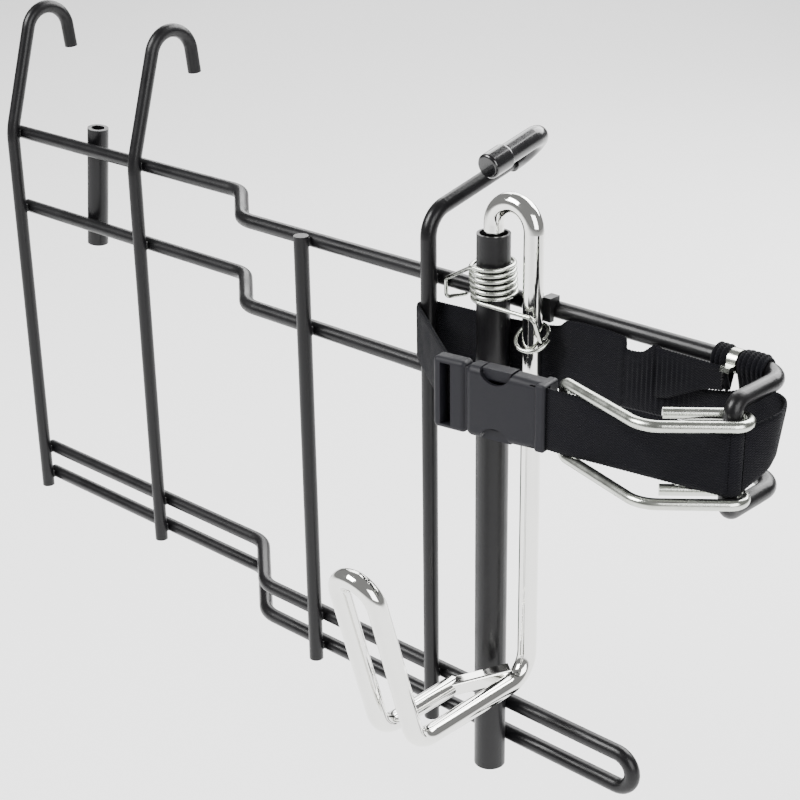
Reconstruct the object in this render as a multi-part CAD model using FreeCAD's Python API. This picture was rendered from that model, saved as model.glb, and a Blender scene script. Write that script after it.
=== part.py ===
import FreeCAD, Part
import math
import os

# Folding luggage rack: a welded wire frame that hangs by two hooks from a round rail,
# with a sprung swing-out foot, a webbing strap with a side-release buckle and a wire bail.
# Millimetres.  X runs along the frame, Y points through it to the carrying rail, Z is up.
# The layout is drawn from the foot of the left hook rod and is then moved so that the
# origin lies on the carrying rail's axis, midway between the two hooks.

Vector = FreeCAD.Vector

# ---- stock sizes -----------------------------------------------------------------------
rod_d = 8.0                # black frame rod
arm_d = 9.5                # bright swing arm rod
bail_d = 5.0               # bail wire
spring_d = 2.0             # torsion spring wire
weld_sink = 0.3            # how far two welded rods bite into each other

# ---- frame -----------------------------------------------------------------------------
rail_top_z = 247.0         # upper rail pair
rail_second_z = 198.0
rail_third_z = 26.0        # lower rail pair
rail_bottom_z = 7.1
rail_overhang = 3.0        # rails run this far past the left hook rod's centre
jog_depth = 35.5           # the right half of the frame stands this far forward
jog_start_x = 208.0        # upper pair leaves the rear plane here
jog_start_low_x = 212.0    # lower pair leaves it here
jog_run = 40.0             # length of the slanted stretch along X
jog_bend_r = 20.0
right_hook_x = 121.8
short_rod_x = 301.7
clip_rod_x = 390.3
short_rod_height = 250.7
lower_loop_end_x = 516.0   # centre line of the lower pair's closed right end
end_hook_x = 583.6         # the upper pair turns forward here
end_hook_reach = 39.3      # and runs this far forward
end_hook_bend_r = 12.0
end_bar_bend_r = 5.0       # tight bends at the two ends of the upright end bar

# ---- rail hooks ------------------------------------------------------------------------
hook_bore = 22.6           # clear diameter: takes a 22.2 mm (7/8 inch) tube
hook_lean = 17.0           # degrees, the shank leans back towards the rail
hook_lean_z = 249.0        # height where the shank starts to lean
hook_lean_bend_r = 40.0
hook_shank = 66.0          # from that height to the start of the crook
hook_turn = 156.0          # degrees that the crook turns
hook_tip = 14.0            # straight tip after the crook

# ---- side clip (sleeved hook on the third upright) ---------------------------------------
clip_bend_z = 279.0
clip_bend_r = 14.0
clip_rise = 12.7           # degrees above level
clip_reach = 65.0          # from the bend to the start of the return
clip_return_r = 9.5
clip_roll = 46.0           # degrees that the return is rolled up from level
clip_free = 32.0           # free branch after the return
sleeve_wall = 1.3
sleeve_lead = 3.0         # sleeve starts this far before the return
sleeve_gap = 0.05
cap_wall = 1.0
cap_length = 14.0
cap_end = 2.0              # thickness of the cap's closed end

# ---- accessory socket on the back of the left half ----------------------------------------
socket_od = 13.0
socket_bore = 8.0
socket_length = 76.5
socket_x = 60.7
socket_z = 220.6           # centre height
socket_lean = 7.4          # degrees

# ---- pivot tube and what is inside it ------------------------------------------------------
pivot_x = 434.4
pivot_od = 16.0
pivot_bore = 13.4
pivot_bottom_z = -6.4
pivot_top_z = 280.6
bush_clearance = 0.05      # radial, arm spindle in its bushes
bush_length = 14.0
bush_inset = 5.0           # upper bush sits this far below the tube's mouth
lower_bush_z = 24.0
retainer_thickness = 1.2
retainer_gap = 0.4         # between the lower bush and the push-on retainer
retainer_clearance = 0.35  # radial, retainer in the tube
spindle_tail = 6.0         # spindle below the retainer

# ---- swing arm and foot ---------------------------------------------------------------------
arm_offset = 23.6          # upright leg from the pivot axis, and between the foot's branches
arm_rise = 4.6             # the top return starts this far above the tube
foot_z = 56.0              # height of the foot's outer branch
foot_rear_drop = 3.0       # the inner branch runs this much lower
foot_reach = 81.0          # from the pivot axis to the corner where the toe turns up
foot_bend_r = 14.0
toe_lean = 16.2            # degrees, the toe leans outwards
toe_length = 97.0          # along the toe, from the corner to the top return
foot_inner_end = 28.0      # the inner branch stops this far in front of the pivot axis
tie_width = 7.4
tie_height = 7.0
tie_edge_r = 1.2
tie_rise = 5.5

# ---- torsion spring ---------------------------------------------------------------------------
spring_mean_r = 10.3
spring_pitch = 2.85
spring_turns = 6.0
spring_bottom_z = 249.9
spring_lean = 6.0          # degrees, the coil's front sits lower than its back
spring_hook_x = 399.5      # where the upper leg hooks over the top rail
spring_hook_drop = 9.5
spring_hook_back = 5.0
spring_leg_rise = 2.2
spring_ring_r = 8.0        # ring round the arm's leg, mean radius
spring_ring_tilt = 32.0    # degrees
spring_ring_z = 235.6
spring_ring_pitch = 2.6
spring_end_gap = 0.3       # between the coil's lower end and the leg that moves with the arm

# ---- arm stop -------------------------------------------------------------------------------
stop_length = 14.0
stop_height = 9.0
stop_gap = 0.35            # between the resting arm and its stop
stop_lug = 5.0             # raised end of the stop
stop_shift = 1.0           # the stop's middle lies this far short of the leg

# ---- bail ------------------------------------------------------------------------------------
bail_gap = 0.3             # running gap round the end bar
bail_spread = 34.4         # between the two arms
bail_bar_x = 508.0
bail_bar_y = -87.0
bail_knee_x = 560.0
bail_knee_y = -103.3
bail_tip = 27.4            # straight end after the hook
bail_hook_turn = 180.0
bail_knee_r = 14.0
bail_corner_r = 3.0

# ---- webbing -----------------------------------------------------------------------------------
web_width = 28.4
web_thick = 1.8
web_z = 222.1              # centre height of the belt
web_gap = 0.4              # air between webbing and what it passes
web_wrap_gap = 0.8         # and where it bends over the bail's bar
web_climb = 0.052          # rise of the rear run per unit of X
web_climb_x = 425.0        # where the rear run is level with the rest
loop_wall = 2.1            # gathered webbing round the top rail
loop_gap = 0.3
loop_a_x = 551.5
loop_a_length = 5.5
loop_b_x = 562.4
loop_b_length = 9.0
clamp_length = 4.6
clamp_wall = 1.2
clamp_tongue = 5.0

# ---- side-release buckle -----------------------------------------------------------------------
buckle_left = (444.3, -97.0)   # centre of the buckle's left end
buckle_turn = 8.75             # degrees about Z
buckle_length = 58.4
buckle_height = 34.0
buckle_end_height = 31.4      # the female half narrows to this
buckle_thick = 11.0
buckle_wall = 1.7
buckle_split = 17.5            # visible length of the male half
buckle_edge_r = 3.4
buckle_lip = 5.0               # raised band at the belt end
buckle_lip_step = 0.9
male_slot_inset = 4.0
male_slot_width = 5.5
male_slot_height = 29.4
male_thick = 8.6
male_root = 5.0                # plug part of the male half that enters the female half
plug_gap = 0.35
guide_width = 5.0
guide_length = 24.0
prong_width = 4.0
prong_length = 20.0
prong_thick = 6.6
prong_gap = 0.3
notch_r = 8.5                  # release notches in the long edges
notch_centre = 1.8             # their centres lie this far outside the edge
notch_gap = 0.85               # round the release pads
pad_along = 33.0               # pads' centre from the buckle's left end
pad_recess = 0.3
belt_slot_width = 5.0
belt_exit = 3.8                # the belt leaves this far in front of the buckle's middle
belt_slot_inset = 8.0

# ---- values that follow -------------------------------------------------------------------------
rod_r = rod_d / 2
arm_r = arm_d / 2
bail_r = bail_d / 2
spring_r = spring_d / 2
weld_step = rod_d - weld_sink
left_rod_y = -weld_step
right_rail_y = -jog_depth
right_rod_y = right_rail_y - weld_step
pivot_y = right_rail_y - rod_r - pivot_od / 2 + weld_sink
end_bar_y = right_rail_y - end_hook_reach
hook_r = (hook_bore + rod_d) / 2
web_r = web_thick / 2

UP = Vector(0, 0, 1)


def unit(v):
    return Vector(v).normalize()


def lean_dir(degrees):
    """Direction in the YZ plane that leans `degrees` from straight up towards +Y."""
    a = math.radians(degrees)
    return Vector(0, math.sin(a), math.cos(a))


def crook_corners(start, direction, normal, radius, turn):
    """Corner points that give one bend of `turn` degrees about `normal`, and the way out."""
    half = turn / 2
    reach = radius * math.tan(math.radians(half / 2))
    first = start + direction * reach
    middle = FreeCAD.Rotation(normal, half).multVec(direction)
    second = first + middle * (2 * reach)
    out = FreeCAD.Rotation(normal, turn).multVec(direction)
    return [first, second], second + out * reach, out


def wrap_round(start, centre, radius, turn):
    """Corners and end of a path that runs from `start` to a circle and then round it.

    The circle lies in plan, on the left of the path, and the path turns anticlockwise.
    """
    to_centre = centre - start
    skew = math.degrees(math.asin(radius / to_centre.Length))
    way = FreeCAD.Rotation(UP, -skew).multVec(unit(to_centre))
    touch = start + way * math.sqrt(to_centre.Length ** 2 - radius ** 2)
    return crook_corners(touch, way, UP, radius, turn)


def rounded_wire(points, radii):
    """Straight runs through `points`, each inner corner rounded with its own radius."""
    edges = []
    here = points[0]
    for corner, after, before, radius in zip(points[1:-1], points[2:], points[:-2], radii):
        way_in = unit(corner - before)
        way_out = unit(after - corner)
        turn = way_in.getAngle(way_out)
        reach = radius * math.tan(turn / 2)
        start = corner - way_in * reach
        end = corner + way_out * reach
        inward = unit(way_out - way_in)
        middle = corner + inward * (radius / math.cos(turn / 2) - radius)
        if (start - here).Length > 1e-4:
            edges.append(Part.LineSegment(here, start).toShape())
        edges.append(Part.Arc(start, middle, end).toShape())
        here = end
    if (points[-1] - here).Length > 1e-4:
        edges.append(Part.LineSegment(here, points[-1]).toShape())
    return Part.Wire(edges)


def round_section(centre, direction, diameter):
    return Part.Wire([Part.makeCircle(diameter / 2, centre, direction)])


def bent_rod(points, radii, diameter, bore=0.0):
    """Round rod, or round tube when `bore` is given, bent along `points`."""
    path = rounded_wire(points, radii)
    direction = unit(points[1] - points[0])
    solid = path.makePipeShell([round_section(points[0], direction, diameter)], True, False)
    if bore:
        solid = solid.cut(path.makePipeShell([round_section(points[0], direction, bore)], True, False))
    return solid


def straight_rod(x, y, low, high, diameter):
    return Part.makeCylinder(diameter / 2, high - low, Vector(x, y, low))


def ring(centre, axis, outer, inner, length):
    """Plain tube with one end centred at `centre`."""
    body = Part.makeCylinder(outer / 2, length, centre, axis)
    return body.cut(Part.makeCylinder(inner / 2, length, centre, axis))


def rounded_block(length, width, height, radius, centre):
    block = Part.makeBox(length, width, height, centre - Vector(length, width, height) / 2)
    return block.makeFillet(radius, block.Edges)


def belt(points, radii):
    """Flat webbing on edge: its centre line in plan, given by corners."""
    corners = [Vector(p.x, p.y, web_z - web_width / 2) for p in points]
    path = rounded_wire(corners, radii)
    across = unit(corners[1] - corners[0]).cross(UP) * web_r
    first = corners[0] - across
    second = corners[0] + across
    rise = UP * web_width
    outline = Part.makePolygon([first, second, second + rise, first + rise, first])
    return path.makePipeShell([outline], True, True)


# ---- frame ------------------------------------------------------------------------------------

def hook_rod(x):
    """Upright rod with a crook at the top that hangs on the carrying rail."""
    foot = Vector(x, left_rod_y, 0)
    knee = Vector(x, left_rod_y, hook_lean_z)
    shank = lean_dir(hook_lean)
    start = knee + shank * hook_shank
    corners, end, out = crook_corners(start, shank, Vector(-1, 0, 0), hook_r, hook_turn)
    points = [foot, knee] + corners + [end + out * hook_tip]
    return bent_rod(points, [hook_lean_bend_r, hook_r, hook_r], rod_d)


def hook_centre():
    """Axis of the carrying rail in the YZ plane."""
    shank = lean_dir(hook_lean)
    across = lean_dir(hook_lean + 90)
    return Vector(0, left_rod_y, hook_lean_z) + shank * hook_shank + across * hook_r


def rail_run(height, jog_x):
    """Corners of one rail from its left end to the far side of the joggle."""
    return [
        Vector(-rail_overhang, 0, height),
        Vector(jog_x, 0, height),
        Vector(jog_x + jog_run, right_rail_y, height),
    ]


def upper_rail_loop():
    """Upper rail pair: one rod whose right end is turned forward into an upright end bar."""
    top = rail_run(rail_top_z, jog_start_x)
    low = rail_run(rail_second_z, jog_start_x)
    turn = [Vector(end_hook_x, right_rail_y, rail_top_z), Vector(end_hook_x, end_bar_y, rail_top_z)]
    back = [Vector(end_hook_x, end_bar_y, rail_second_z), Vector(end_hook_x, right_rail_y, rail_second_z)]
    radii = [jog_bend_r] * 2 + [end_hook_bend_r] + [end_bar_bend_r] * 2 + [end_hook_bend_r] + [jog_bend_r] * 2
    return bent_rod(top + turn + back + low[::-1], radii, rod_d)


def lower_rail_loop():
    """Lower rail pair: one hairpin closed at its right end."""
    top = rail_run(rail_third_z, jog_start_low_x)
    low = rail_run(rail_bottom_z, jog_start_low_x)
    end_r = (rail_third_z - rail_bottom_z) / 2
    turn = [Vector(lower_loop_end_x, right_rail_y, z) for z in (rail_third_z, rail_bottom_z)]
    radii = [jog_bend_r] * 2 + [end_r] * 2 + [jog_bend_r] * 2
    return bent_rod(top + turn + low[::-1], radii, rod_d)


def accessory_socket():
    a = math.radians(socket_lean)
    axis = Vector(math.sin(a), 0, math.cos(a))
    middle = Vector(socket_x, rod_r + socket_od / 2 - weld_sink, socket_z)
    return ring(middle - axis * (socket_length / 2), axis, socket_od, socket_bore, socket_length)


# ---- side clip ----------------------------------------------------------------------------------

def clip_route():
    """Start of the return, its two corners, the free end and the directions in and out."""
    along = lean_dir(90 - clip_rise)
    roll = math.radians(clip_roll)
    raised = unit(Vector(1, 0, 0).cross(along))
    across = Vector(1, 0, 0) * math.cos(roll) + raised * math.sin(roll)
    start = Vector(clip_rod_x, right_rod_y, clip_bend_z) + along * clip_reach
    first = start + along * clip_return_r
    second = first + across * (2 * clip_return_r)
    free_end = second - along * (clip_return_r + clip_free)
    return along, start, first, second, free_end


def clip_rod():
    along, start, first, second, free_end = clip_route()
    knee = Vector(clip_rod_x, right_rod_y, clip_bend_z)
    points = [Vector(clip_rod_x, right_rod_y, 0), knee, first, second, free_end]
    return bent_rod(points, [clip_bend_r, clip_return_r, clip_return_r], rod_d)


def clip_sleeve():
    along, start, first, second, free_end = clip_route()
    points = [start - along * sleeve_lead, first, second, free_end]
    outer = rod_d + 2 * sleeve_wall
    return bent_rod(points, [clip_return_r, clip_return_r], outer, rod_d + 2 * sleeve_gap)


def clip_cap():
    along, start, first, second, free_end = clip_route()
    bore = rod_d + 2 * sleeve_wall + 2 * sleeve_gap
    outer = bore + 2 * cap_wall
    closed = free_end - along * (cap_end + sleeve_gap)
    body = Part.makeCylinder(outer / 2, cap_length, closed, along)
    body = body.makeFillet(cap_end * 0.8, [e for e in body.Edges if e.Closed])
    return body.cut(Part.makeCylinder(bore / 2, cap_length, free_end - along * sleeve_gap, along))


# ---- pivot --------------------------------------------------------------------------------------

def pivot_tube():
    foot = Vector(pivot_x, pivot_y, pivot_bottom_z)
    return ring(foot, UP, pivot_od, pivot_bore, pivot_top_z - pivot_bottom_z)


def bush(low):
    return ring(Vector(pivot_x, pivot_y, low), UP, pivot_bore, arm_d + 2 * bush_clearance, bush_length)


def spindle_retainer():
    """Push-on washer that keeps the spindle from lifting out of the lower bush."""
    low = lower_bush_z - retainer_gap - retainer_thickness
    outer = pivot_bore - 2 * retainer_clearance
    return ring(Vector(pivot_x, pivot_y, low), UP, outer, arm_d, retainer_thickness)


# ---- swing arm ----------------------------------------------------------------------------------

def foot_corner(x, height):
    """Corner where a foot branch at this height turns up into the toe."""
    lean = math.tan(math.radians(toe_lean))
    return Vector(x, pivot_y - foot_reach - (height - foot_z) * lean, height)


def swing_arm():
    """One bent rod: spindle, top return, upright leg, foot, toe and the foot's inner branch."""
    leg_x = pivot_x + arm_offset
    half = arm_offset / 2
    spindle_low = lower_bush_z - retainer_gap - retainer_thickness - spindle_tail
    crown = pivot_top_z + arm_rise + half
    toe = lean_dir(-toe_lean)
    outer = foot_corner(leg_x, foot_z)
    inner = foot_corner(pivot_x, foot_z - foot_rear_drop)
    toe_top = outer + toe * toe_length
    points = [
        Vector(pivot_x, pivot_y, spindle_low),
        Vector(pivot_x, pivot_y, crown),
        Vector(leg_x, pivot_y, crown),
        Vector(leg_x, pivot_y, foot_z),
        outer,
        toe_top,
        Vector(pivot_x, toe_top.y, toe_top.z),
        inner,
        Vector(pivot_x, pivot_y - foot_inner_end, inner.z),
    ]
    radii = [half, half, foot_bend_r, foot_bend_r, half, half, foot_bend_r]
    return bent_rod(points, radii, arm_d)


def foot_tie():
    """Flat bar welded from the inner branch's cut end to the foot of the upright leg."""
    start = Vector(pivot_x, pivot_y - foot_inner_end - tie_width / 2, foot_z - foot_rear_drop)
    end = Vector(pivot_x + arm_offset - arm_r, pivot_y - foot_bend_r / 2, foot_z + tie_rise - foot_rear_drop)
    along = end - start
    bar = Part.makeBox(along.Length, tie_width, tie_height, Vector(0, -tie_width / 2, -tie_height / 2))
    bar = bar.makeFillet(tie_edge_r, [e for e in bar.Edges if abs(e.tangentAt(e.FirstParameter).x) > 0.9])
    level = math.degrees(math.atan2(along.y, along.x))
    climb = math.degrees(math.asin(along.z / along.Length))
    bar.rotate(Vector(), Vector(0, 1, 0), -climb)
    bar.rotate(Vector(), UP, level)
    bar.translate(start)
    return bar


def arm_stop():
    """Saddle welded to the front of the top rail, where the arm's leg comes to rest."""
    face = pivot_y + arm_r + stop_gap
    back = right_rail_y - rod_r + weld_sink
    middle = pivot_x + arm_offset - stop_shift
    low = Vector(middle - stop_length / 2, face, rail_top_z - stop_height / 2)
    pad = Part.makeBox(stop_length, back - face, stop_height, low)
    lug_low = Vector(middle + stop_length / 2 - stop_lug, face, rail_top_z)
    lug = Part.makeBox(stop_lug, back - face + rod_r, stop_height / 2 + 2.5, lug_low)
    start = Vector(middle - stop_length, right_rail_y, rail_top_z)
    rail = Part.makeCylinder(rod_r - weld_sink, 2 * stop_length, start, Vector(1, 0, 0))
    return pad.fuse(lug).cut(rail).removeSplitter()


# ---- torsion spring ------------------------------------------------------------------------------

def spring_coil():
    """The wound part, left-handed, leaning a little; also its two ends at the front."""
    height = spring_pitch * spring_turns
    start = Vector(0, -spring_mean_r, -height / 2)
    helix = Part.makeHelix(spring_pitch, height, spring_mean_r, 0, True)
    helix.rotate(Vector(), UP, -90)
    helix.translate(UP * (-height / 2))
    heading = Vector(-2 * math.pi * spring_mean_r, 0, spring_pitch)
    coil = Part.Wire(helix.Edges).makePipeShell([round_section(start, heading, spring_d)], True, True)
    lean = FreeCAD.Rotation(Vector(1, 0, 0), spring_lean)
    middle = Vector(pivot_x, pivot_y, spring_bottom_z + height / 2)
    coil.rotate(Vector(), Vector(1, 0, 0), spring_lean)
    coil.translate(middle)
    return coil, middle + lean.multVec(start), middle + lean.multVec(start + UP * height)


def spring_frame_leg():
    """Upper leg of the spring: runs to the left and hooks round the top rail."""
    top_end = spring_coil()[2]
    front = right_rail_y - rod_r - spring_r - web_gap
    behind = right_rail_y + rod_r + spring_r + web_gap
    hook_x = spring_hook_x + spring_hook_back
    high = rail_top_z + spring_leg_rise
    low = high - spring_hook_drop
    points = [
        top_end,
        top_end - Vector(4, 0, 0),
        Vector(spring_hook_x, front, high),
        Vector(spring_hook_x, front, low),
        Vector(hook_x, behind, low),
        Vector(hook_x, behind, low + spring_hook_drop / 2),
    ]
    return bent_rod(points, [5.0, 2.2, 2.2, 2.2], spring_d)


def spring_arm_leg():
    """Lower leg of the spring: runs to the right and winds once round the arm's upright leg."""
    low_end = spring_coil()[1]
    middle = Vector(pivot_x + arm_offset, pivot_y, spring_ring_z)
    tilt = math.radians(spring_ring_tilt)
    side = Vector(spring_ring_r, 0, 0)
    back = Vector(0, math.cos(tilt), math.sin(tilt)) * spring_ring_r
    drop = Vector(0, -math.sin(tilt), math.cos(tilt)) * (spring_ring_pitch / 4)
    ring = [middle + side + back, middle - side + back, middle - side - back, middle + side - back]
    ring = [p - drop * (i - 1.5) for i, p in enumerate(ring)]
    points = [
        low_end + Vector(spring_end_gap, 0, 0),
        Vector(middle.x + spring_ring_r, low_end.y, low_end.z),
        middle + side - back * 0.4 + drop * 2.5,
    ]
    points += ring + [middle + side + back * 0.2 - drop * 2.5]
    return bent_rod(points, [3.0, 2.4] + [spring_ring_r - 0.3] * 4, spring_d)


# ---- bail ----------------------------------------------------------------------------------------

def bail_plan():
    """Plan corners of one arm, from the hidden bar to the cut end of its hook."""
    pivot = Vector(end_hook_x, end_bar_y, 0)
    knee = Vector(bail_knee_x, bail_knee_y, 0)
    radius = rod_r + bail_gap + bail_r
    corners, end, out = wrap_round(knee, pivot, radius, bail_hook_turn)
    return [Vector(bail_bar_x, bail_bar_y, 0), knee] + corners + [end + out * bail_tip], radius


def bail():
    """One wire: a hidden upright bar and two arms that hook round the frame's end bar."""
    plan, radius = bail_plan()
    top = [p + UP * (web_z + bail_spread / 2) for p in plan]
    low = [p + UP * (web_z - bail_spread / 2) for p in plan]
    arm_radii = [radius, radius, bail_knee_r, bail_corner_r]
    return bent_rod(top[::-1] + low, arm_radii + arm_radii[::-1], bail_d)


# ---- webbing --------------------------------------------------------------------------------------

def buckle_point(along, across):
    a = math.radians(buckle_turn)
    x = buckle_left[0] + along * math.cos(a) - across * math.sin(a)
    y = buckle_left[1] + along * math.sin(a) + across * math.cos(a)
    return Vector(x, y, 0)


def end_bar_wrap():
    """Way of the webbing from the bail's bar to the end bar and round its outside."""
    over_bar = Vector(bail_bar_x, bail_bar_y - bail_r - web_wrap_gap - web_r, 0)
    corners, end, out = wrap_round(over_bar, Vector(end_hook_x, end_bar_y, 0), rod_r + web_gap + web_r, 82)
    return over_bar, corners, end, out


def clip_rod_wrap():
    """Way of the webbing from behind the pivot tube round the left of the clip rod."""
    start = Vector(loop_a_x - web_gap, right_rod_y + rod_r + web_gap + web_r, 0)
    centre = Vector(clip_rod_x, right_rod_y, 0)
    corners, end, out = wrap_round(start, centre, rod_r + web_gap + web_r, 138)
    return start, corners, end, out


def strap_front():
    """From the buckle's belt slot, over the bail's bar and round the frame's end bar."""
    over_bar, corners, end, out = end_bar_wrap()
    wrap = rod_r + web_gap + web_r
    slot = buckle_length - belt_slot_inset
    points = [buckle_point(slot + 1, -belt_exit * 0.6), buckle_point(buckle_length + 1, -belt_exit), over_bar]
    return belt(points + corners + [end + out * 2.0], [6, 12, wrap, wrap])


def strap_return():
    """From the end bar, bulging out past the end hook, to behind the top rail."""
    over_bar, corners, end, out = end_bar_wrap()
    inner_y = right_rail_y + rod_r + web_gap + web_r
    points = [
        end + out * (2.0 + web_gap),
        end + out * 9.0,
        Vector(end_hook_x + 9.0, inner_y - 4, 0),
        Vector(loop_b_x - 2, inner_y, 0),
    ]
    return belt(points, [20, 12])


def strap_rear():
    """Round the clip rod, then along behind the pivot tube, climbing towards the top rail."""
    start, corners, end, out = clip_rod_wrap()
    wrap = rod_r + web_gap + web_r
    climb = FreeCAD.Matrix()
    climb.A31 = web_climb
    climb.A34 = -web_climb * web_climb_x
    return belt([start] + corners + [end + out * 1.0], [wrap, wrap]).transformGeometry(climb)


def strap_buckle_run():
    """From the male half's slot back to the clip rod."""
    start, corners, end, out = clip_rod_wrap()
    slot = male_slot_inset + male_slot_width / 2
    points = [
        buckle_point(slot + 0.3, 0.3),
        buckle_point(slot - 4.0, 9.0),
        end + out * 24.0,
        end + out * (1.0 + web_gap),
    ]
    return belt(points, [4, 60])


def rail_loop(x, length):
    """Webbing gathered round the top rail."""
    inner = rod_d + 2 * loop_gap
    return ring(Vector(x, right_rail_y, rail_top_z), Vector(1, 0, 0), inner + 2 * loop_wall, inner, length)


def strap_clamp():
    """Plated band round the top rail between the two gathers, with a folded tongue in front."""
    x = (loop_a_x + loop_a_length + loop_b_x - clamp_length) / 2
    inner = rod_d + 2 * loop_gap
    outer = inner + 2 * clamp_wall
    band = ring(Vector(x, right_rail_y, rail_top_z), Vector(1, 0, 0), outer, inner, clamp_length)
    front = right_rail_y - inner / 2 - clamp_wall / 2 - clamp_tongue
    low = Vector(x, front, rail_top_z - 2 * clamp_wall)
    tongue = Part.makeBox(clamp_length, clamp_tongue, 2 * clamp_wall, low)
    return band.fuse(tongue)


# ---- buckle ---------------------------------------------------------------------------------------

def place_buckle(shape):
    shape.rotate(Vector(), UP, buckle_turn)
    shape.translate(Vector(buckle_left[0], buckle_left[1], web_z))
    return shape


def notch(side, radius):
    """Round through-cut in the buckle's upper or lower edge."""
    centre = Vector(pad_along, -buckle_thick, side * (buckle_height / 2 + notch_centre))
    return Part.makeCylinder(radius, 2 * buckle_thick, centre, Vector(0, 1, 0))


def tapered_block(start, end, thickness, start_height, end_height, radius):
    """Block along X with rounded edges whose height changes from one end to the other."""
    outline = [(start, -start_height), (end, -end_height), (end, end_height), (start, start_height)]
    corners = [Vector(x, -thickness / 2, z / 2) for x, z in outline]
    block = Part.Face(Part.makePolygon(corners + corners[:1])).extrude(Vector(0, thickness, 0))
    return block.makeFillet(radius, block.Edges)


def female_body():
    body = tapered_block(buckle_split, buckle_length, buckle_thick,
                         buckle_height, buckle_end_height, buckle_edge_r)
    lip_start = buckle_length - buckle_lip
    lip_thick = buckle_thick + 2 * buckle_lip_step
    lip = tapered_block(lip_start, buckle_length, lip_thick, buckle_end_height, buckle_end_height, 1.4)
    body = body.fuse(lip)
    depth = buckle_length - buckle_split - belt_slot_inset - belt_slot_width
    inside_t = buckle_thick - 2 * buckle_wall
    inside_h = buckle_height - 2 * buckle_wall
    cavity = Part.makeBox(depth, inside_t, inside_h, Vector(buckle_split, -inside_t / 2, -inside_h / 2))
    body = body.cut([cavity, notch(1, notch_r), notch(-1, notch_r)])
    slot_x = buckle_length - belt_slot_inset - belt_slot_width / 2 + 1.5
    exit_h = web_width + 2 * web_gap
    slot = Part.makeBox(belt_slot_width, 2 * buckle_thick, exit_h, Vector(slot_x, 0, -exit_h / 2))
    window_y = -belt_exit - web_thick / 2 - web_gap
    window = Part.makeBox(belt_slot_inset + 2, belt_exit, exit_h,
                          Vector(buckle_length - belt_slot_inset, window_y, -exit_h / 2))
    return place_buckle(body.cut([slot, window]))


def male_body():
    frame = rounded_block(buckle_split - plug_gap, male_thick, buckle_height, 2.4,
                          Vector((buckle_split - plug_gap) / 2, 0, 0))
    slot = Part.makeBox(male_slot_width, 2 * buckle_thick, male_slot_height,
                        Vector(male_slot_inset, -buckle_thick, -male_slot_height / 2))
    frame = frame.cut(slot)
    inside_t = buckle_thick - 2 * buckle_wall - 2 * plug_gap
    inside_h = buckle_height - 2 * buckle_wall - 2 * plug_gap
    start = buckle_split - plug_gap - 1.5
    plug = Part.makeBox(male_root, inside_t, inside_h, Vector(start, -inside_t / 2, -inside_h / 2))
    guide = rounded_block(guide_length, inside_t - 1.5, guide_width, 1.2,
                          Vector(start + male_root + guide_length / 2 - 1.5, 0, 0))
    return place_buckle(frame.fuse([plug, guide]).removeSplitter())


def prong(side):
    """Flexing latch arm of the male half, ending in a release pad."""
    start = buckle_split - plug_gap - 1.5 + male_root + prong_gap
    edge = buckle_height / 2 - buckle_wall - plug_gap
    middle = Vector(start + prong_length / 2, 0, side * (edge - prong_width / 2))
    arm = rounded_block(prong_length, prong_thick, prong_width, 1.2, middle)
    limit = buckle_height / 2 - pad_recess
    low = min(side * (edge - prong_width / 2), side * limit)
    slab = Part.makeBox(2 * notch_r, prong_thick, limit - edge + prong_width / 2,
                        Vector(pad_along - notch_r, -prong_thick / 2, low))
    return place_buckle(arm.fuse(notch(side, notch_r - notch_gap).common(slab)))


# ---- write every node ------------------------------------------------------------------------------

def nodes():
    low_bush = bush(lower_bush_z)
    top_bush = bush(pivot_top_z - bush_inset - bush_length)
    return {
        "hook_rod_left": hook_rod(0.0),
        "hook_rod_right": hook_rod(right_hook_x),
        "short_upright": straight_rod(short_rod_x, right_rod_y, 0, short_rod_height, rod_d),
        "clip_rod": clip_rod(),
        "clip_sleeve": clip_sleeve(),
        "clip_end_cap": clip_cap(),
        "upper_rail_loop": upper_rail_loop(),
        "lower_rail_loop": lower_rail_loop(),
        "accessory_socket": accessory_socket(),
        "pivot_tube": pivot_tube(),
        "upper_bush": top_bush,
        "lower_bush": low_bush,
        "arm_stop": arm_stop(),
        "swing_arm": swing_arm(),
        "foot_tie": foot_tie(),
        "spindle_retainer": spindle_retainer(),
        "spring_coil": spring_coil()[0],
        "spring_frame_leg": spring_frame_leg(),
        "spring_arm_leg": spring_arm_leg(),
        "bail": bail(),
        "strap_front": strap_front(),
        "strap_return": strap_return(),
        "strap_rear": strap_rear(),
        "strap_buckle_run": strap_buckle_run(),
        "strap_gather_left": rail_loop(loop_a_x, loop_a_length),
        "strap_gather_right": rail_loop(loop_b_x, loop_b_length),
        "strap_clamp": strap_clamp(),
        "buckle_female": female_body(),
        "buckle_male": male_body(),
        "buckle_prong_upper": prong(1),
        "buckle_prong_lower": prong(-1),
    }


os.makedirs("parts", exist_ok=True)
seat = hook_centre()
origin = Vector(right_hook_x / 2, seat.y, seat.z)
for name, shape in nodes().items():
    shape.translate(-origin)
    shape.exportStep(os.path.join("parts", name + ".step"))
    box = shape.BoundBox
    print(name, shape.isValid(), len(shape.Solids), round(shape.Volume, 1),
          [round(v, 1) for v in (box.XMin, box.YMin, box.ZMin, box.XMax, box.YMax, box.ZMax)])
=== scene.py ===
import math

import bpy
from bpy.props import FloatProperty, FloatVectorProperty, IntProperty, PointerProperty
from mathutils import Matrix, Vector


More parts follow.
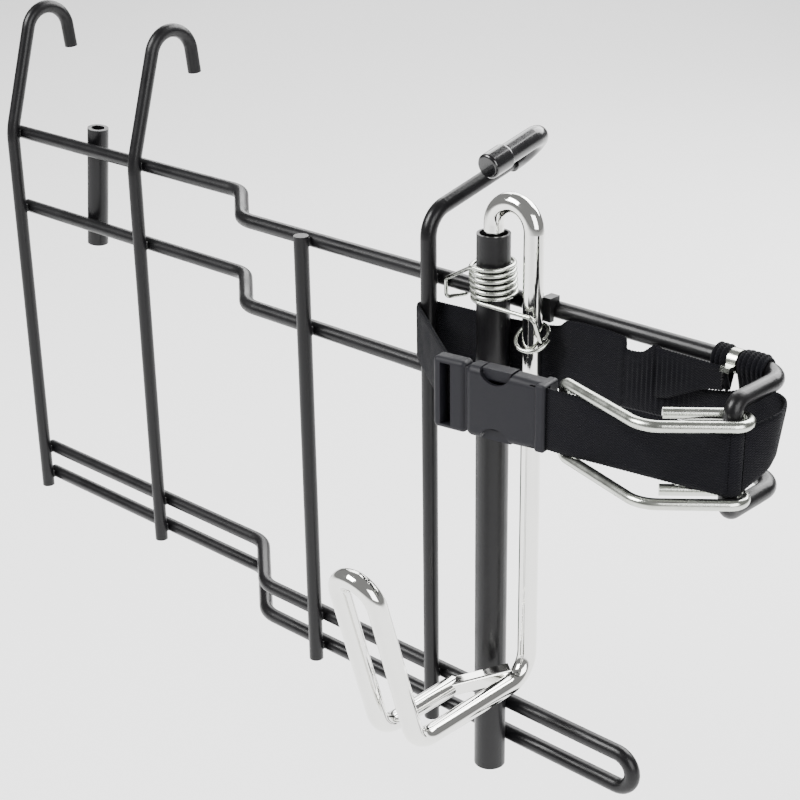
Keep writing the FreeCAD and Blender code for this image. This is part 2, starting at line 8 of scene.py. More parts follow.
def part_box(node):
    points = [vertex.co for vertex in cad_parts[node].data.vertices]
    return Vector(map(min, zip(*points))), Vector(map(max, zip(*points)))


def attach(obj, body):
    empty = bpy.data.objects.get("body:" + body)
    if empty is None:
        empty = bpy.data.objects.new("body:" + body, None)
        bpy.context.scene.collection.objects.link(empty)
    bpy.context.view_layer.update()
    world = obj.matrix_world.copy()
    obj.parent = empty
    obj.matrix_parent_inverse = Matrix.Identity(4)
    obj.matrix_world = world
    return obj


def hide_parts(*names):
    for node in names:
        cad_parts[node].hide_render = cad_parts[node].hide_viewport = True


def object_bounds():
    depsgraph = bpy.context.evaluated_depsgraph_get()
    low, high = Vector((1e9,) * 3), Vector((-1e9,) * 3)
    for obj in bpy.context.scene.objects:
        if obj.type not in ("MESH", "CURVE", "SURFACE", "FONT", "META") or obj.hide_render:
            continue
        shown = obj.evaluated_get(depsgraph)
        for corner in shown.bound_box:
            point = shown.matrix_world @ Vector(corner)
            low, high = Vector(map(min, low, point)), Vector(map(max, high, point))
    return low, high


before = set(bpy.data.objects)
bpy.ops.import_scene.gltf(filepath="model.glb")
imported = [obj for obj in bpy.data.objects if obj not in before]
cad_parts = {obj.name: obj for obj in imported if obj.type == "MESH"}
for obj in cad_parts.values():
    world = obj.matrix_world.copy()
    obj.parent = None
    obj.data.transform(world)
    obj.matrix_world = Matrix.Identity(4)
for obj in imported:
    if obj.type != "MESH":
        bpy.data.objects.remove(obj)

bl_info = {
    "name": "Hanging luggage rack",
    "version": (1, 0, 0),
    "blender": (4, 5, 0),
    "location": "View3D > Sidebar > Rack",
    "description": "Finishes, webbing, welds and stage for a wire luggage rack",
    "category": "Object",
}

MM = 0.001
CAD_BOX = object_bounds()

# ---- where things are, read from the frame --------------------------------------------------


def corner_low(node):
    return Vector(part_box(node)[0])


def corner_high(node):
    return Vector(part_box(node)[1])


def middle(node):
    return (corner_low(node) + corner_high(node)) / 2


ROD_R = (corner_high("short_upright").x - corner_low("short_upright").x) / 2
WELD_BITE = 0.3 * MM        # how far two welded rods sink into each other
HOOK_ROD_Y = corner_low("hook_rod_left").y + ROD_R
CLIP_ROD = Vector((corner_low("clip_rod").x + ROD_R, corner_low("clip_rod").y + ROD_R, 0.0))
TOP_RAIL_Z = corner_high("upper_rail_loop").z - ROD_R
SECOND_RAIL_Z = corner_low("upper_rail_loop").z + ROD_R
THIRD_RAIL_Z = corner_high("lower_rail_loop").z - ROD_R
BOTTOM_RAIL_Z = corner_low("lower_rail_loop").z + ROD_R
RAIL_Y = CLIP_ROD.y + 2 * ROD_R - WELD_BITE
LEFT_RAIL_Y = HOOK_ROD_Y + 2 * ROD_R - WELD_BITE
END_BAR_X = corner_high("upper_rail_loop").x - ROD_R
END_BAR = Vector((END_BAR_X, corner_low("upper_rail_loop").y + ROD_R, 0.0))
PIVOT = middle("pivot_tube")
BELT_LOW = corner_low("strap_front").z
BELT_HIGH = corner_high("strap_front").z
CLEAR = 0.4 * MM            # air between webbing and what it passes
WIDTH = BELT_HIGH - BELT_LOW
REAR_LOW = corner_low("strap_rear")
REAR_HIGH = corner_high("strap_rear")
CLIMB = (REAR_HIGH.z - REAR_LOW.z - WIDTH) / (REAR_HIGH.x - REAR_LOW.x)
RAIL_TOUCH_Z = TOP_RAIL_Z - 0.3 * ROD_R      # webbing pulled up against the rail's front
SELVEDGE = 0.17 * MM        # depth of the ribs along the webbing's edges
KNIT = 0.05 * MM            # relief of the ribs on its faces
EDGE_THIN = 0.62            # share of the thickness left at an edge
PLEAT = 2.4 * MM            # width of one pleat in a gather
GATHER_CLEAR = 0.35 * MM
RAIL_BEND = 24 * MM         # twice the radius of the top rail's bend at its right end
BEAD_R = 1.25 * MM
BEAD_ASIDE = 1.9 * MM       # from the middle of the joint to each bead
BEAD_HALF = 2.7 * MM        # half a bead's height
BEAD_SINK = 0.15 * MM


def rear_low(x):
    """Lower edge of the rear run, which climbs to the right as its node does."""
    return REAR_LOW.z + CLIMB * (x - REAR_LOW.x)


def between(first, last, part):
    """The value that lies this part of the way from first to last."""
    return first + (last - first) * part


# ---- settings ----------------------------------------------------------------------------------


class RackEnamel(bpy.types.PropertyGroup):
    colour: FloatVectorProperty(name="Enamel", description="Colour of the frame's enamel", subtype="COLOR",
                                size=3, min=0, max=1, default=(0.0022, 0.0021, 0.0025))
    gloss: FloatProperty(name="Roughness", description="Mean roughness of the enamel",
                         min=0, max=1, default=0.36)
    peel: FloatProperty(name="Orange peel", description="Depth of the enamel's texture", subtype="DISTANCE",
                        unit="LENGTH", min=0, max=0.001, default=0.00008)


class RackPlating(bpy.types.PropertyGroup):
    chrome: FloatVectorProperty(name="Chrome", description="Colour of the arm's plating", subtype="COLOR",
                                size=3, min=0, max=1, default=(0.80, 0.80, 0.77))
    zinc: FloatVectorProperty(name="Zinc", description="Colour of the wire's plating", subtype="COLOR",
                              size=3, min=0, max=1, default=(0.56, 0.58, 0.53))


class RackWebbing(bpy.types.PropertyGroup):
    colour: FloatVectorProperty(name="Webbing", description="Colour of the yarn", subtype="COLOR",
                                size=3, min=0, max=1, default=(0.0016, 0.0016, 0.0026))
    thickness: FloatProperty(name="Thickness", description="Thickness of the webbing", subtype="DISTANCE",
                             unit="LENGTH", min=0.0005, max=0.003, default=0.0017)
    rib: FloatProperty(name="Rib pitch", description="Distance between two ribs of the weave",
                       subtype="DISTANCE", unit="LENGTH", min=0.0005, max=0.004, default=0.0016)
    rows: IntProperty(name="Rows", description="Points across the webbing", min=5, max=41, default=15)


class RackStage(bpy.types.PropertyGroup):
    lens: FloatProperty(name="Lens", description="Focal length of the camera", subtype="DISTANCE_CAMERA",
                        unit="CAMERA", min=20, max=200, default=78.255)
    azimuth: FloatProperty(name="Azimuth", description="Camera's turn about the rack, in degrees",
                           min=-180, max=180, default=43.5)
    elevation: FloatProperty(name="Elevation", description="Camera's height angle, in degrees",
                             min=-90, max=90, default=23.0)
    roll: FloatProperty(name="Roll", description="Camera's roll, in degrees",
                        min=-180, max=180, default=-0.83)
    distance: FloatProperty(name="Distance", description="Camera's distance from the middle of the rack",
                            subtype="DISTANCE", unit="LENGTH", min=0.2, max=5, default=0.923)
    aside: FloatProperty(name="Aside", description="Camera's sideways step, which frames the rack",
                         subtype="DISTANCE", unit="LENGTH", min=-1, max=1, default=0.064)
    drop: FloatProperty(name="Floor drop", description="Distance of the floor below the rack",
                        subtype="DISTANCE", unit="LENGTH", min=0, max=2, default=0.25)


# ---- materials ---------------------------------------------------------------------------------


class Finish:
    """A new material with short ways to add texture to it."""

    def __init__(self, name, **sockets):
        self.material = bpy.data.materials.new(name)
        self.material.use_nodes = True
        self.tree = self.material.node_tree
        self.shader = self.tree.nodes["Principled BSDF"]
        for key, value in sockets.items():
            self.shader.inputs[key.replace("_", " ")].default_value = value

    def add(self, kind, links=(), **settings):
        node = self.tree.nodes.new(kind)
        for key, value in settings.items():
            if hasattr(node, key):
                setattr(node, key, value)
            else:
                node.inputs[key.replace("_", " ")].default_value = value
        for key, source in dict(links).items():
            self.tree.links.new(source, node.inputs[key])
        return node

    def place(self, uv=False):
        return self.add("ShaderNodeTexCoord").outputs["UV" if uv else "Object"]

    def noise(self, scale, detail=3.0, place=None):
        links = {"Vector": place if place else self.place()}
        return self.add("ShaderNodeTexNoise", links, Scale=scale, Detail=detail).outputs["Fac"]

    def spread(self, source, low, high, start=0.3, end=0.7):
        node = self.add("ShaderNodeMapRange", {"Value": source})
        for key, value in (("From Min", start), ("From Max", end), ("To Min", low), ("To Max", high)):
            node.inputs[key].default_value = value
        return node.outputs["Result"]

    def blend_colour(self, source, first, second):
        node = self.add("ShaderNodeMix", data_type="RGBA")
        self.tree.links.new(source, node.inputs[0])
        node.inputs[6].default_value = (*first, 1.0)
        node.inputs[7].default_value = (*second, 1.0)
        return node.outputs[2]

    def math(self, operation, first, second):
        node = self.add("ShaderNodeMath", operation=operation)
        for socket, value in zip(node.inputs, (first, second)):
            if isinstance(value, (int, float)):
                socket.default_value = value
            else:
                self.tree.links.new(value, socket)
        return node.outputs[0]

    def drive(self, key, source):
        self.tree.links.new(source, self.shader.inputs[key])

    def relief(self, source, distance, strength=1.0):
        node = self.add("ShaderNodeBump", {"Height": source}, Strength=strength, Distance=distance)
        self.drive("Normal", node.outputs["Normal"])


def enamel_finish(settings):
    finish = Finish("black_enamel", Metallic=0.0, Specular_IOR_Level=0.22,
                    Coat_Weight=0.08, Coat_Roughness=0.14)
    patch = finish.noise(45.0, 4.0)
    fine = finish.noise(900.0, 2.0)
    dark = tuple(settings.colour)
    finish.drive("Base Color", finish.blend_colour(patch, dark, tuple(c * 1.9 + 0.001 for c in dark)))
    finish.drive("Roughness", finish.spread(patch, settings.gloss - 0.07, settings.gloss + 0.09))
    finish.relief(finish.math("ADD", fine, finish.math("MULTIPLY", patch, 0.6)), settings.peel)
    return finish.material


def vinyl_finish():
    finish = Finish("black_vinyl", Specular_IOR_Level=0.5, Coat_Weight=0.4, Coat_Roughness=0.06)
    flow = finish.noise(60.0, 2.0)
    finish.drive("Base Color", finish.blend_colour(flow, (0.003, 0.003, 0.0034), (0.006, 0.006, 0.007)))
    finish.drive("Roughness", finish.spread(flow, 0.16, 0.30))
    finish.relief(flow, 0.00025)
    return finish.material


def chrome_finish(settings):
    finish = Finish("chrome_arm", Metallic=1.0)
    stain = finish.noise(30.0, 5.0)
    fine = finish.noise(420.0, 3.0)
    bright = tuple(settings.chrome)
    finish.drive("Base Color", finish.blend_colour(stain, bright, tuple(c * 0.93 for c in bright)))
    finish.drive("Roughness", finish.spread(fine, 0.045, 0.10))
    finish.relief(stain, 0.00012)
    return finish.material


def zinc_finish(settings):
    finish = Finish("zinc_wire", Metallic=1.0)
    cloud = finish.noise(160.0, 5.0)
    fine = finish.noise(1500.0, 2.0)
    bright = tuple(settings.zinc)
    finish.drive("Base Color", finish.blend_colour(cloud, bright, tuple(c * 0.8 for c in bright)))
    finish.drive("Roughness", finish.spread(cloud, 0.16, 0.30))
    finish.relief(fine, 0.00003)
    return finish.material


def plastic_finish():
    finish = Finish("black_plastic", Specular_IOR_Level=0.2)
    grain = finish.noise(2600.0, 2.0)
    scuff = finish.noise(90.0, 4.0)
    finish.drive("Base Color", finish.blend_colour(scuff, (0.005, 0.005, 0.007), (0.010, 0.010, 0.013)))
    finish.drive("Roughness", finish.spread(scuff, 0.44, 0.60))
    finish.relief(grain, 0.00006)
    return finish.material


def nylon_finish():
    finish = Finish("bush_nylon", Subsurface_Weight=0.1)
    cloud = finish.noise(200.0, 2.0)
    finish.drive("Base Color", finish.blend_colour(cloud, (0.62, 0.60, 0.55), (0.54, 0.52, 0.47)))
    finish.drive("Roughness", finish.spread(cloud, 0.4, 0.55))
    return finish.material


def webbing_finish(settings):
    """Plain weave laid out in metres: U runs along the webbing and V across it."""
    finish = Finish("black_webbing", Sheen_Weight=0.02, Sheen_Roughness=0.45, Specular_IOR_Level=0.1)
    place = finish.place(uv=True)
    split = finish.add("ShaderNodeSeparateXYZ", {"Vector": place}).outputs
    turn = 2 * math.pi
    weft = finish.math("SINE", finish.math("MULTIPLY", split["X"], turn / settings.rib), 0.0)
    warp = finish.math("SINE", finish.math("MULTIPLY", split["Y"], turn / (settings.rib * 0.75)), 0.0)
    weave = finish.math("MULTIPLY", weft, warp)
    fuzz = finish.noise(2200.0, 3.0, place)
    worn = finish.noise(70.0, 3.0, place)
    yarn = tuple(settings.colour)
    base = finish.math("ADD", finish.math("MULTIPLY", weave, 0.3), worn)
    finish.drive("Base Color", finish.blend_colour(base, yarn, tuple(c * 2.2 + 0.001 for c in yarn)))
    finish.drive("Roughness", finish.spread(worn, 0.72, 0.9))
    finish.relief(finish.math("ADD", weave, finish.math("MULTIPLY", fuzz, 0.5)), 0.0002)
    return finish.material


def dress(nodes, material):
    """Gives CAD nodes a material."""
    for name in nodes:
        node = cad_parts[name]
        node.data.materials.clear()
        node.data.materials.append(material)
        node.data.polygons.foreach_set("material_index", [0] * len(node.data.polygons))


# ---- mesh helpers --------------------------------------------------------------------------------


def new_piece(name, verts, faces, material, uvs=None, smooth=True):
    mesh = bpy.data.meshes.new(name)
    mesh.from_pydata([tuple(v) for v in verts], [], faces)
    if uvs:
        layer = mesh.uv_layers.new(name="weave")
        for loop in mesh.loops:
            layer.data[loop.index].uv = uvs[loop.vertex_index]
    mesh.materials.append(material)
    mesh.update()
    piece = bpy.data.objects.new(name, mesh)
    bpy.context.scene.collection.objects.link(piece)
    if smooth:
        for face in mesh.polygons:
            face.use_smooth = True
    return piece


def catmull(points, step):
    """Evenly stepped smooth line through points, which may be vectors of any length."""
    size = len(points[0])
    rows = [points[0]] + list(points) + [points[-1]]
    out = []
    for a, b, c, d in zip(rows, rows[1:], rows[2:], rows[3:]):
        reach = math.dist(b[:3], c[:3])
        count = max(2, int(round(reach / step)))
        for i in range(count):
            t = i / count
            point = []
            for k in range(size):
                slope = c[k] - a[k]
                square = 2 * a[k] - 5 * b[k] + 4 * c[k] - d[k]
                cube = 3 * b[k] - a[k] - 3 * c[k] + d[k]
                point.append(0.5 * (2 * b[k] + slope * t + square * t * t + cube * t ** 3))
            out.append(point)
    out.append(list(rows[-1]))
    return out


def webbing_band(name, stations, settings, material, ripple=None):
    """Closed band of webbing.  A station is (x, y, low z, high z, lean) in metres, lean at the top."""
    step = settings.rib / 4
    line = catmull(stations, step)
    half = settings.thickness / 2
    rows = settings.rows
    loop_size = 2 * rows
    verts = []
    uvs = []
    travelled = 0.0
    for i, (x, y, low, high, lean) in enumerate(line):
        before = line[max(i - 1, 0)]
        after = line[min(i + 1, len(line) - 1)]
        way = Vector((after[0] - before[0], after[1] - before[1], 0)).normalized()
        side = Vector((-way.y, way.x, 0))
        if i:
            travelled += math.dist(line[i - 1][:2], (x, y))
        rib = math.sin(2 * math.pi * travelled / settings.rib)
        low -= SELVEDGE * rib
        high += SELVEDGE * rib
        swing = ripple(x) if ripple else 0.0
        front = []
        back = []
        for j in range(rows):
            v = j / (rows - 1)
            edge = min(v, 1 - v) * (rows - 1)
            thin = EDGE_THIN if edge < 0.5 else 1.0
            knit = KNIT * rib * (1 if j % 2 else -1)
            aside = lean * v + swing * math.sin(math.pi * v)
            centre = Vector((x, y, low + (high - low) * v)) + side * aside
            front.append(centre - side * (half * thin + knit))
            back.append(centre + side * (half * thin + knit))
            uvs.append((travelled, (high - low) * v))
        verts += front + back[::-1]
        uvs += [(travelled, (high - low) * (1 - j / (rows - 1))) for j in range(rows)]
    faces = []
    for i in range(len(line) - 1):
        a = i * loop_size
        b = a + loop_size
        for j in range(loop_size):
            k = (j + 1) % loop_size
            faces.append((a + j, b + j, b + k, a + k))
    faces.append(tuple(range(loop_size))[::-1])
    end = (len(line) - 1) * loop_size
    faces.append(tuple(range(end, end + loop_size)))
    piece = new_piece(name, verts, faces, material, uvs)
    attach(piece, "frame")
    return piece


def arc_stations(centre, radius, start, end, low, high, count=7):
    """Stations round an upright bar; angles in degrees, centre in metres."""
    out = []
    for i in range(count):
        a = math.radians(start + (end - start) * i / (count - 1))
        out.append((centre.x + radius * math.cos(a), centre.y + radius * math.sin(a), low, high, 0.0))
    return out


# ---- operators -----------------------------------------------------------------------------------

ENAMELLED = ("hook_rod_left", "hook_rod_right", "short_upright", "clip_rod", "upper_rail_loop",
             "lower_rail_loop", "accessory_socket", "pivot_tube", "arm_stop")
VINYL = ("clip_sleeve", "clip_end_cap")
CHROMED = ("swing_arm", "foot_tie")
ZINC = ("spring_coil", "spring_frame_leg", "spring_arm_leg", "bail", "strap_clamp", "spindle_retainer")
MOULDED = ("buckle_female", "buckle_male", "buckle_prong_upper", "buckle_prong_lower")
NYLON = ("upper_bush", "lower_bush")

MATERIALS = {}


class RACK_OT_finishes(bpy.types.Operator):
    """Gives the rods, tubes, wires and moulded parts their finishes"""
    bl_idname = "rack.finishes"
    bl_label = "Finishes"

    def execute(self, context):
        scene = context.scene
        MATERIALS["enamel"] = enamel_finish(scene.rack_enamel)
        MATERIALS["webbing"] = webbing_finish(scene.rack_webbing)
        dress(ENAMELLED, MATERIALS["enamel"])
        dress(VINYL, vinyl_finish())
        dress(CHROMED, chrome_finish(scene.rack_plating))
        dress(ZINC, zinc_finish(scene.rack_plating))
        dress(MOULDED, plastic_finish())
        dress(NYLON, nylon_finish())
        return {"FINISHED"}


class RACK_OT_belt_front(bpy.types.Operator):
    """Webbing from the buckle over the bail's bar and round the end bar"""
    bl_idname = "rack.belt_front"
    bl_label = "Front webbing"

    def execute(self, context):
        half = context.scene.rack_webbing.thickness / 2
        radius = ROD_R + CLEAR + half
        wrap = arc_stations(END_BAR, radius, -82.0, 2.0, BELT_LOW, BELT_HIGH)
        bar_radius = (corner_high("bail").z - corner_low("bail").z - WIDTH) / 4
        entry = Vector((corner_low("strap_front").x, corner_low("strap_front").y + half + CLEAR))
        over_bar = Vector((corner_low("bail").x + bar_radius, entry.y))
        start = [(entry.x, entry.y, BELT_LOW, BELT_HIGH, 0.0)]
        for part in (0.0, 0.3, 0.7):
            x = between(over_bar.x, wrap[0][0], part)
            y = between(over_bar.y, wrap[0][1], part)
            start.append((x, y, BELT_LOW, BELT_HIGH, 0.0))
        piece = webbing_band("belt_front", start + wrap, context.scene.rack_webbing, MATERIALS["webbing"])
        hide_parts("strap_front")
        return {"FINISHED"}


class RACK_OT_belt_return(bpy.types.Operator):
    """Webbing that bulges past the end hook and comes back behind the top rail"""
    bl_idname = "rack.belt_return"
    bl_label = "Return webbing"

    def execute(self, context):
        half = context.scene.rack_webbing.thickness / 2
        inner_x = corner_high("strap_gather_right").x
        outer_x = corner_high("strap_return").x - half
        rear_y = corner_high("pivot_tube").y + CLEAR + half
        bulge_y = between(corner_low("strap_return").y, rear_y, 0.35)
        first_x = END_BAR.x + ROD_R + CLEAR
        places = [(first_x, corner_low("strap_return").y, BELT_LOW, BELT_HIGH, 0.0)]
        steps = 6
        for i in range(steps + 1):
            t = math.pi / 2 * i / steps
            x = inner_x + (outer_x - inner_x) * math.cos(t)
            y = between(bulge_y, rear_y, math.sin(t))
            lift = math.cos(t - math.pi / 6)
            low = between(BELT_LOW, rear_low(x), i / steps) + WIDTH / 4 * lift * math.cos(t)
            high = between(BELT_HIGH + WIDTH / 6 * lift, rear_low(x) + 0.83 * WIDTH, i / steps)
            places.append((x, y, low, high, -WIDTH / 8 * math.cos(t)))
        piece = webbing_band("belt_return", places, context.scene.rack_webbing, MATERIALS["webbing"])
        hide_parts("strap_return")
        return {"FINISHED"}


class RACK_OT_belt_rear(bpy.types.Operator):
    """Webbing behind the pivot tube, round the clip rod, and its tab up to the top rail"""
    bl_idname = "rack.belt_rear"
    bl_label = "Rear webbing"

    def execute(self, context):
        settings = context.scene.rack_webbing
        half = settings.thickness / 2
        behind_tube = corner_high("pivot_tube").y + CLEAR + half
        by_rail = RAIL_Y - ROD_R - half - CLEAR / 2
        right = corner_high("strap_gather_right").x
        tab_start = corner_low("strap_gather_left").x - WIDTH
        tab_end = corner_high("strap_gather_left").x
        span = tab_start - PIVOT.x
        stop = corner_high("arm_stop").x

        def row(x, y, share=None):
            low = rear_low(x)
            high = RAIL_TOUCH_Z if share is None else low + share * WIDTH
            return (x, y, low, high, 0.0)

        # slack below the gathers, then up against the rail with one short nick, then behind the tube
        places = [row(right, behind_tube, 0.83), row(between(tab_end, right, 0.5), behind_tube, 0.74),
                  row(tab_end, behind_tube, 0.65), row(between(tab_start, tab_end, 0.6), behind_tube, 0.6),
                  row(between(tab_start, tab_end, 0.3), behind_tube, 0.7),
                  row(tab_start, by_rail),
                  row(PIVOT.x + 0.90 * span, by_rail, 1.0), row(PIVOT.x + 0.80 * span, by_rail, 1.0),
                  row(PIVOT.x + 0.78 * span, by_rail), row(between(stop, tab_start, 0.2), by_rail),
                  row(stop, behind_tube, 1.06), row(PIVOT.x, behind_tube, 1.0),
                  row(between(CLIP_ROD.x, PIVOT.x, 0.3), behind_tube, 1.0)]
        radius = ROD_R + CLEAR + half
        low_left = rear_low(CLIP_ROD.x)
        wrap = arc_stations(CLIP_ROD, radius, 95.0, 222.0, low_left, low_left + WIDTH)

        def ruffle(x):
            away = x - tab_start
            strength = max(0.0, 1 - abs(away) / (0.85 * WIDTH))
            return WIDTH / 63 * strength * math.sin(away * 2 * math.pi / (WIDTH / 11))

        piece = webbing_band("belt_rear", places + wrap, settings, MATERIALS["webbing"], ruffle)
        in_front = by_rail - settings.thickness
        tab_low_end = corner_low("strap_gather_left").z - WIDTH / 5
        tab = []
        for i in range(6):
            part = i / 5
            x = between(tab_start, tab_end, part)
            ease = part * part * (3 - 2 * part)
            low = between(rear_low(x) + WIDTH / 3, tab_low_end, ease)
            tab.append((x, in_front, low, RAIL_TOUCH_Z, 0.0))
        webbing_band("belt_rear_tab", tab, settings, MATERIALS["webbing"], ruffle)
        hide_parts("strap_rear")
        return {"FINISHED"}


class RACK_OT_belt_buckle_run(bpy.types.Operator):
    """Webbing from the clip rod to the male half of the buckle"""
    bl_idname = "rack.belt_buckle_run"
    bl_label = "Buckle webbing"

    def execute(self, context):
        settings = context.scene.rack_webbing
        half = settings.thickness / 2
        low_left = rear_low(CLIP_ROD.x)
        radius = ROD_R + CLEAR + half
        start = arc_stations(CLIP_ROD, radius, 226.0, 236.0, low_left, low_left + WIDTH, 3)
        end_x = corner_high("strap_buckle_run").x - half
        end_y = corner_low("strap_buckle_run").y + half
        places = []
        for part in (0.12, 0.35, 0.65, 0.85, 0.95, 1.0):
            x = between(start[-1][0], end_x, part)
            y = between(start[-1][1], end_y, part)
            low = between(low_left, BELT_LOW, min(1.0, part / 0.85))
            places.append((x, y, low, low + WIDTH, 0.0))
        piece = webbing_band("belt_buckle_run", start + places, settings, MATERIALS["webbing"])
        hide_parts("strap_buckle_run")
        return {"FINISHED"}


class RACK_OT_gathers(bpy.types.Operator):
    """Pleated webbing folded over the top rail on both sides of the plated clamp"""
    bl_idname = "rack.gathers"
    bl_label = "Gathers"

    def execute(self, context):
        self.gather("strap_gather_left", 9.0 * MM, 2.2 * MM, 0.0)
        self.gather("strap_gather_right", 12.0 * MM, 0.0, 4.2 * MM)
        return {"FINISHED"}

    def gather(self, node, tail, more_left, more_right):
        low = corner_low(node)
        high = corner_high(node)
        outer = (high.y - low.y) / 2
        inner = ROD_R + GATHER_CLEAR
        centre = (low + high) / 2
        bend_start = high.x
        low.x -= more_left
        length = high.x - low.x + more_right
        across = 48
        around = 44
        verts = []
        uvs = []
        for i in range(across + 1):
            u = i / across
            pleat = abs(math.sin(u * math.pi * length / PLEAT))
            shoulder = min(1.0, math.sin(math.pi * u) * 2.2)
            wall = (outer - inner) * (0.55 + 0.45 * pleat) * (0.5 + 0.5 * shoulder)
            for surface in (inner, inner + wall):
                for j in range(around):
                    a = -math.pi / 2 + 2 * math.pi * (j + 0.5) / around
                    down = max(0.0, -math.sin(a)) ** 3
                    squeeze = 1 - 0.55 * down
                    past = max(0.0, low.x + length * u - bend_start)
                    y = surface * math.cos(a) * squeeze - past * past / RAIL_BEND
                    z = surface * math.sin(a) - tail * down * (1 if surface > inner else 0.82)
                    verts.append(Vector((low.x + length * u, centre.y + y, centre.z + z)))
                    uvs.append((surface * a, length * u))
        faces = []
        ring = 2 * around
        for i in range(across):
            a = i * ring
            b = a + ring
            for j in range(around):
                k = (j + 1) % around
                faces.append((a + j, a + k, b + k, b + j))
                faces.append((a + around + j, b + around + j, b + around + k, a + around + k))
        for j in range(around):
            k = (j + 1) % around
            faces.append((j, around + j, around + k, k))
            e = across * ring
            faces.append((e + j, e + k, e + around + k, e + around + j))
        piece = new_piece("belt_" + node[6:], verts, faces, MATERIALS["webbing"], uvs)
        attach(piece, "frame")
        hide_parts(node)


class RACK_OT_welds(bpy.types.Operator):
    """Weld beads where the uprights and the pivot tube meet the rails"""
    bl_idname = "rack.welds"
    bl_label = "Welds"

    def execute(self, context):
        uprights = (("hook_rod_left", LEFT_RAIL_Y), ("hook_rod_right", LEFT_RAIL_Y),
                    ("short_upright", RAIL_Y), ("clip_rod", RAIL_Y), ("pivot_tube", RAIL_Y))
        count = 0
        for node, rail_y in uprights:
            x = middle(node).x if node == "pivot_tube" else corner_low(node).x + ROD_R
            for z in (TOP_RAIL_Z, SECOND_RAIL_Z, THIRD_RAIL_Z, BOTTOM_RAIL_Z):
                count += 1
                self.bead(count, Vector((x, rail_y - ROD_R, z)))
        return {"FINISHED"}

    def bead(self, number, contact):
        """Two upright fillets, one on each side of the place where a rail meets an upright."""
        verts = []
        faces = []
        span = 16
        turns = 12
        for part, side in enumerate((-1, 1)):
            base = len(verts)
            for i in range(span + 1):
                t = -1 + 2 * i / span
                swell = math.sqrt(max(0.0, 1 - t * t))
                for j in range(turns):
                    a = 2 * math.pi * j / turns
                    lump = 1 + 0.12 * math.sin(5 * t + number) * math.cos(2 * a)
                    r = BEAD_R * swell * lump
                    x = side * (BEAD_ASIDE + r * math.cos(a))
                    y = r * math.sin(a) * 1.25 - BEAD_SINK
                    verts.append(contact + Vector((x, y, t * BEAD_HALF)))
            for i in range(span):
                for j in range(turns):
                    k = (j + 1) % turns
                    a = base + i * turns
                    faces.append((a + j, a + k, a + turns + k, a + turns + j))
        piece = new_piece("weld_%02d" % number, verts, faces, MATERIALS["enamel"])
        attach(piece, "frame")


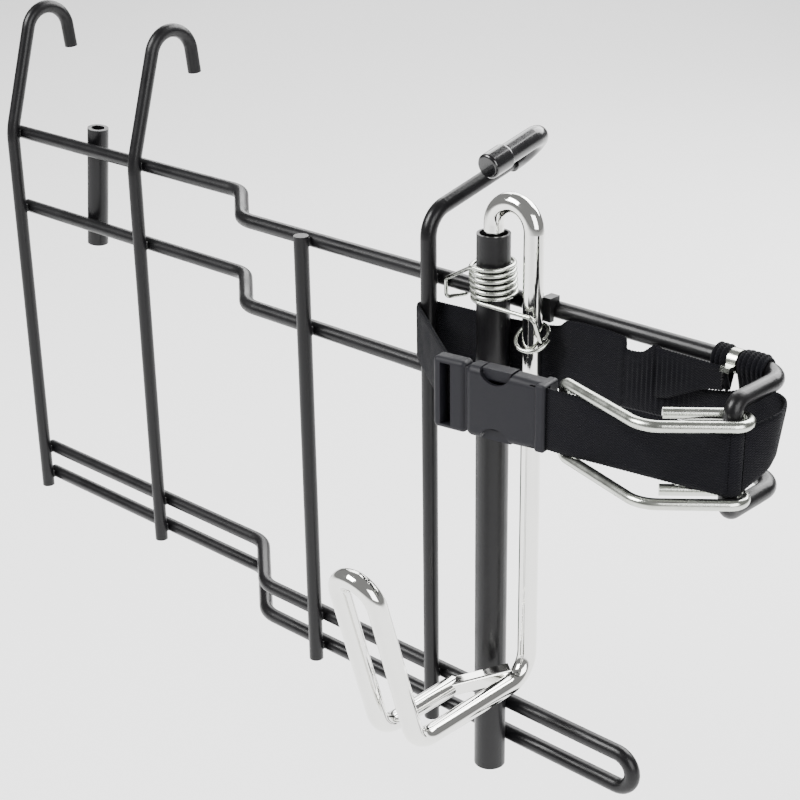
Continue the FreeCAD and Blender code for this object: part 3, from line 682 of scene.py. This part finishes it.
class RACK_OT_stage(bpy.types.Operator):
    """Pale floor, soft lights and the camera"""
    bl_idname = "rack.stage"
    bl_label = "Stage"

    def execute(self, context):
        stage = context.scene.rack_stage
        low, high = (Vector(c) for c in CAD_BOX)
        centre = (low + high) / 2
        self.floor(low.z - stage.drop, centre)
        self.lights(centre)
        self.camera(stage)
        world = bpy.data.worlds.new("studio")
        context.scene.world = world
        world.use_nodes = True
        world.node_tree.nodes["Background"].inputs["Color"].default_value = (1.0, 1.0, 1.0, 1.0)
        world.node_tree.nodes["Background"].inputs["Strength"].default_value = 0.3
        return {"FINISHED"}

    def floor(self, z, centre):
        size = 6.0
        verts = [Vector((centre.x + sx * size, centre.y + sy * size, z)) for sx, sy in
                 ((-1, -1), (1, -1), (1, 1), (-1, 1))]
        finish = Finish("studio_floor", Roughness=0.9)
        cloud = finish.noise(3.0, 2.0)
        finish.drive("Base Color", finish.blend_colour(cloud, (0.93, 0.93, 0.93), (0.95, 0.95, 0.95)))
        new_piece("floor", verts, [(0, 1, 2, 3)], finish.material, smooth=False)

    def lights(self, centre):
        for name, where, size, power in (("key", (-0.9, -1.5, 1.6), 1.2, 118.0),
                                         ("fill", (1.9, -0.6, 0.8), 1.4, 48.0),
                                         ("back", (0.2, 1.8, 1.4), 1.6, 110.0),
                                         ("far", (-2.4, 3.2, 2.4), 3.0, 190.0)):
            data = bpy.data.lights.new(name, "AREA")
            data.size = size
            data.energy = power
            lamp = bpy.data.objects.new(name, data)
            lamp.location = centre + Vector(where)
            lamp.rotation_euler = (centre - lamp.location).to_track_quat("-Z", "Y").to_euler()
            bpy.context.scene.collection.objects.link(lamp)

    def camera(self, stage):
        a = math.radians(stage.azimuth)
        e = math.radians(stage.elevation)
        r = math.radians(stage.roll)
        forward = Vector((-math.sin(a) * math.cos(e), math.cos(a) * math.cos(e), -math.sin(e)))
        level = Vector((math.cos(a), math.sin(a), 0))
        upright = level.cross(forward)
        right = level * math.cos(r) + upright * math.sin(r)
        up = upright * math.cos(r) - level * math.sin(r)
        data = bpy.data.cameras.new("camera")
        data.lens = stage.lens
        data.sensor_width = 36.0
        data.clip_start = 0.05
        camera = bpy.data.objects.new("camera", data)
        low, high = (Vector(c) for c in CAD_BOX)
        place = (low + high) / 2 - forward * stage.distance + level * stage.aside
        turned = Matrix((right, up, -forward)).transposed().to_4x4()
        camera.matrix_world = Matrix.Translation(place) @ turned
        bpy.context.scene.collection.objects.link(camera)
        bpy.context.scene.camera = camera


class RACK_PT_panel(bpy.types.Panel):
    """Lists the rack's pieces and settings"""
    bl_idname = "RACK_PT_panel"
    bl_label = "Luggage rack"
    bl_space_type = "VIEW_3D"
    bl_region_type = "UI"
    bl_category = "Rack"

    def draw(self, context):
        for operator in OPERATORS:
            self.layout.operator(operator.bl_idname)
        for holder in SETTINGS:
            group = getattr(context.scene, holder)
            for key in group.bl_rna.properties.keys():
                if key not in ("rna_type", "name"):
                    self.layout.prop(group, key)


OPERATORS = (RACK_OT_finishes, RACK_OT_belt_front, RACK_OT_belt_return, RACK_OT_belt_rear,
             RACK_OT_belt_buckle_run, RACK_OT_gathers, RACK_OT_welds, RACK_OT_stage)
SETTINGS = {"rack_enamel": RackEnamel, "rack_plating": RackPlating, "rack_webbing": RackWebbing,
            "rack_stage": RackStage}


def register():
    for cls in (*SETTINGS.values(), *OPERATORS, RACK_PT_panel):
        bpy.utils.register_class(cls)
    for name, cls in SETTINGS.items():
        setattr(bpy.types.Scene, name, PointerProperty(type=cls))


def unregister():
    for name in SETTINGS:
        delattr(bpy.types.Scene, name)
    for cls in (RACK_PT_panel, *reversed(OPERATORS), *SETTINGS.values()):
        bpy.utils.unregister_class(cls)


def main():
    register()
    bpy.ops.rack.finishes()
    bpy.ops.rack.belt_front()
    bpy.ops.rack.belt_return()
    bpy.ops.rack.belt_rear()
    bpy.ops.rack.belt_buckle_run()
    bpy.ops.rack.gathers()
    bpy.ops.rack.welds()
    bpy.ops.rack.stage()


if __name__ == "__main__":
    main()
